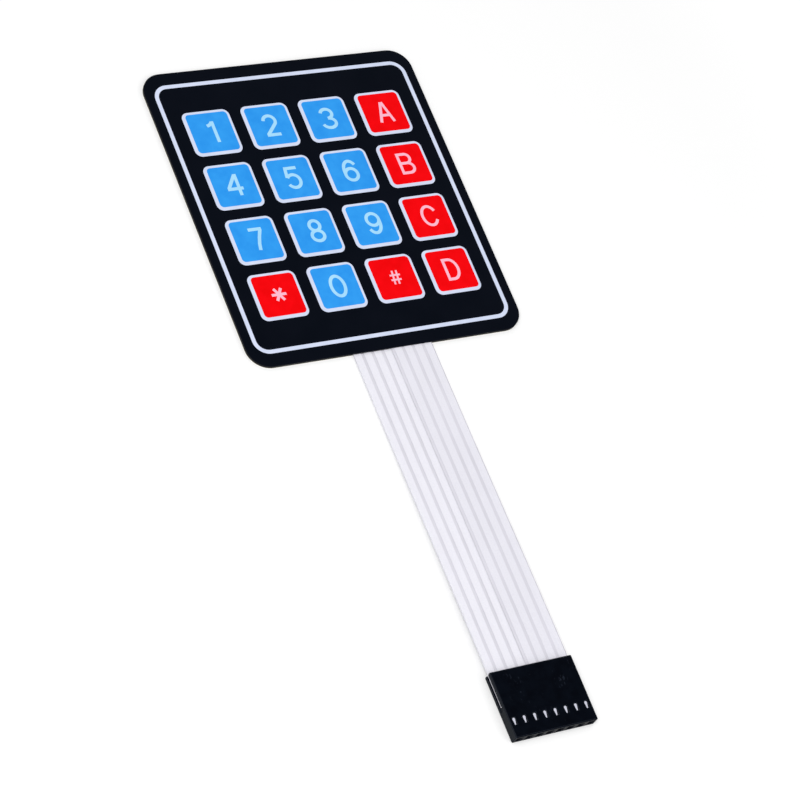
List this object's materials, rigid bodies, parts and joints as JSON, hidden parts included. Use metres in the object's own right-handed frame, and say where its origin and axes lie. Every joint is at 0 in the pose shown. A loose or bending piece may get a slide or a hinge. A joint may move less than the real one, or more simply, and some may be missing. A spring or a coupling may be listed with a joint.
{
  "type": "membrane keypad",
  "caption": "Flat self-adhesive membrane keypad with square blue and red keys on a black panel, a film tail with printed conductors and a black crimped pin socket at its end.",
  "frame": {"origin": "centre of the panel's back face, which is stuck to a surface", "axes": "+Z out of the keys, +Y from the tail's side to the top row of keys, tail and socket towards -Y"},
  "size_m": [0.069, 0.1712, 0.0026],
  "materials": {
    "black_film": "fine satin polyester film",
    "white_ink": "screen-printed white ink",
    "blue_ink": "screen-printed blue ink",
    "red_ink": "screen-printed red ink",
    "adhesive": "dark glue film",
    "clear_film": "translucent polyester film",
    "spacer_film": "translucent polyester film",
    "silver_ink": "printed silver conductor",
    "liner_paper": "waxed release paper",
    "black_housing": "moulded black nylon",
    "tinned_contact": "tin-plated bronze"
  },
  "bodies": {
    "root": {"graphic_overlay": "black_film", "white_print": "white_ink", "blue_print": "blue_ink", "red_print": "red_ink", "overlay_adhesive": "adhesive", "upper_circuit": "clear_film", "column_trace_1": "silver_ink", "column_trace_2": "silver_ink", "column_trace_3": "silver_ink", "column_trace_4": "silver_ink", "spacer": "spacer_film", "lower_circuit": "clear_film", "row_trace_1": "silver_ink", "row_trace_2": "silver_ink", "row_trace_3": "silver_ink", "row_trace_4": "silver_ink", "back_adhesive": "adhesive", "release_liner": "liner_paper", "connector_housing": "black_housing", "contact_1": "tinned_contact", "contact_2": "tinned_contact", "contact_3": "tinned_contact", "contact_4": "tinned_contact", "contact_5": "tinned_contact", "contact_6": "tinned_contact", "contact_7": "tinned_contact", "contact_8": "tinned_contact"}
  },
  "joints": []
}
